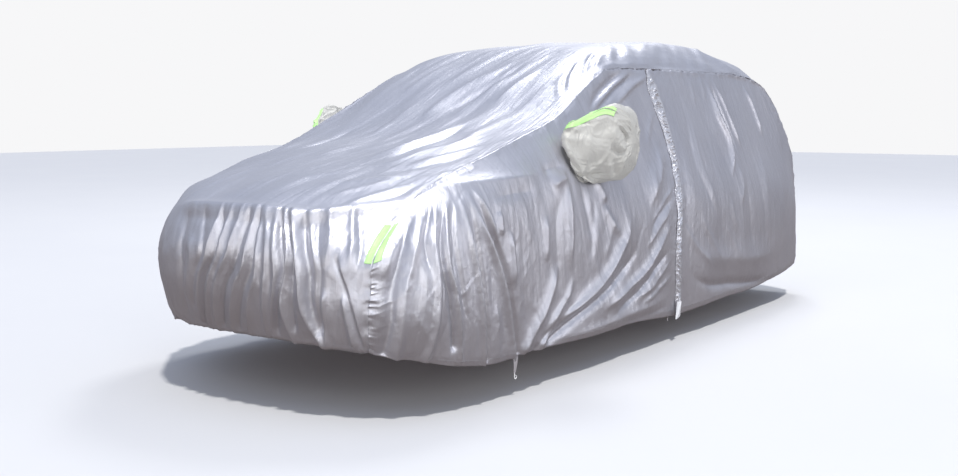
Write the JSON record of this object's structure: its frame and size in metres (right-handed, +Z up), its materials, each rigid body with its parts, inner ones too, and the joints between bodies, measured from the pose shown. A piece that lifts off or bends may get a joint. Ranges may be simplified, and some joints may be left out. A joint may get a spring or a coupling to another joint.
{
  "type": "fitted car cover",
  "caption": "Fitted silver cloth cover in the draped shape of a compact utility car, with mirror pockets, a door zip ribbon and reflective corner bands.",
  "frame": {"origin": "under the middle of the roof cloth, where the cover rests on the roof it is drawn over", "axes": "+Y towards the rear of the covered car, +Z up, +X towards the side with the door zip"},
  "size_m": [1.9611, 4.476, 1.5504],
  "materials": {
    "silver_cloth": "silver coated polyester",
    "pocket_cloth": "cream coated polyester",
    "reflective_band": "lime reflective band",
    "zip_ribbon": "pale puckered ribbon",
    "strap_webbing": "grey woven strap",
    "clip_plastic": "pale moulded plastic"
  },
  "bodies": {
    "root": {"top_panel": "silver_cloth", "side_panel_left_front": "silver_cloth", "side_panel_left_rear": "silver_cloth", "side_panel_right": "silver_cloth", "door_zip_ribbon": "zip_ribbon", "zip_end_tab": "zip_ribbon", "mirror_pocket_left": "pocket_cloth", "mirror_pocket_right": "pocket_cloth", "pocket_band_left_top": "reflective_band", "pocket_band_left_front": "reflective_band", "pocket_band_right_top": "reflective_band", "pocket_band_right_front": "reflective_band", "corner_band_left_inner": "reflective_band", "corner_band_left_outer": "reflective_band", "corner_band_right_inner": "reflective_band", "corner_band_right_outer": "reflective_band", "wheel_strap": "strap_webbing", "wheel_strap_clip": "clip_plastic", "hem_cord_end": "strap_webbing"}
  },
  "joints": []
}
